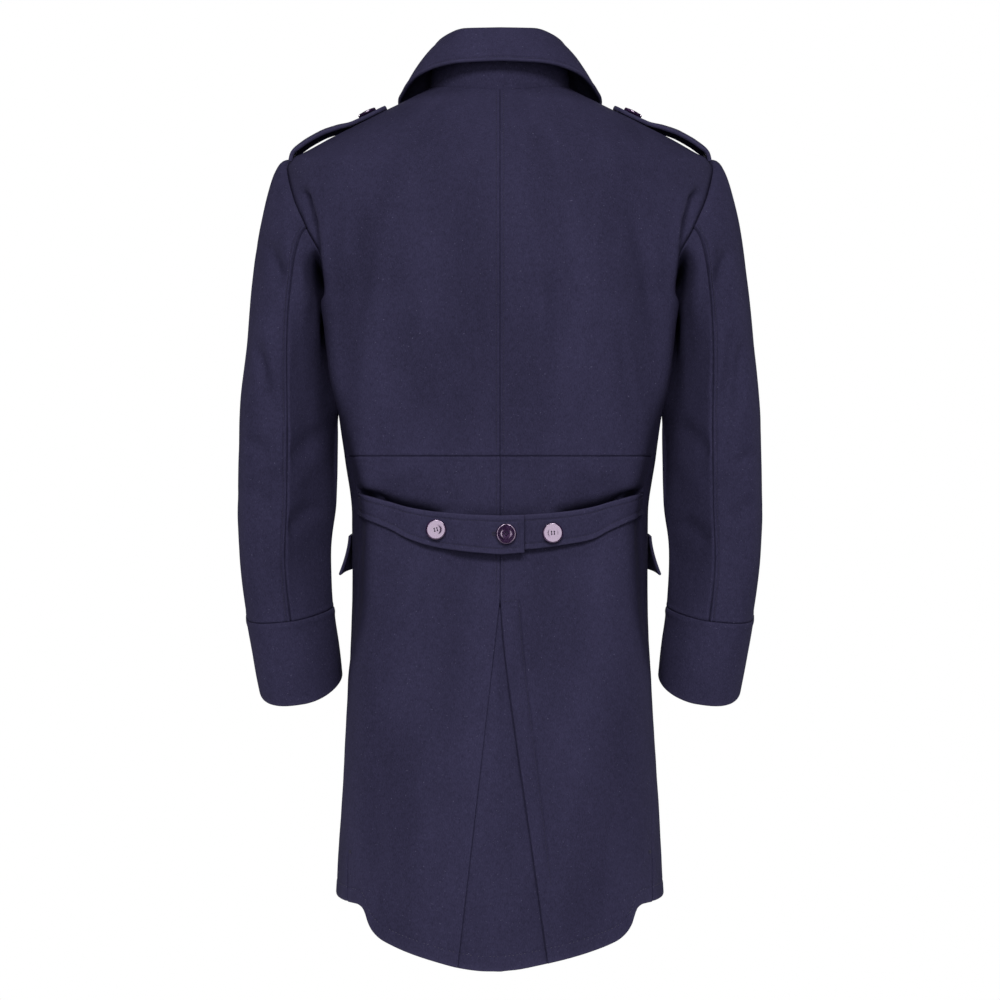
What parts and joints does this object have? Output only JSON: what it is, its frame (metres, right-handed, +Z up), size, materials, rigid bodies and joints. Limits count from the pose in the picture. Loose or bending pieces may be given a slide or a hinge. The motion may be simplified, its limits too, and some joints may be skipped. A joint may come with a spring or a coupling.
{
  "type": "overcoat",
  "caption": "Knee-length wool overcoat in worn form with turned-down collar, shoulder straps, buttoned half belt and inverted back pleat; hollow, open at neck, cuffs and hem.",
  "frame": {"origin": "base of the neck, level with where the collar meets the shoulders, midway between the shoulders", "axes": "+Z up, front of the coat towards -Y, wearer's left towards +X"},
  "size_m": [0.5954, 0.3128, 1.0395],
  "materials": {
    "wool": "dense milled wool with a short nap",
    "button": "polished plum resin with a raised rim"
  },
  "bodies": {
    "root": {"upper_back_left": "wool", "upper_back_right": "wool", "skirt_back_left": "wool", "skirt_back_right": "wool", "front_left": "wool", "front_right": "wool", "upper_sleeve_left": "wool", "upper_sleeve_right": "wool", "under_sleeve_left": "wool", "under_sleeve_right": "wool", "cuff_left": "wool", "cuff_right": "wool", "half_belt_left": "wool", "half_belt_right": "wool", "shoulder_strap_left": "wool", "shoulder_strap_right": "wool", "pocket_flap_left": "wool", "pocket_flap_right": "wool", "pleat_underlay": "wool", "collar_stand": "wool", "collar_fall": "wool", "belt_button_left": "button", "belt_button_middle": "button", "belt_button_right": "button", "strap_button_left": "button", "strap_button_right": "button", "front_button_1": "button", "front_button_2": "button", "front_button_3": "button", "front_button_4": "button", "front_button_5": "button"}
  },
  "joints": []
}
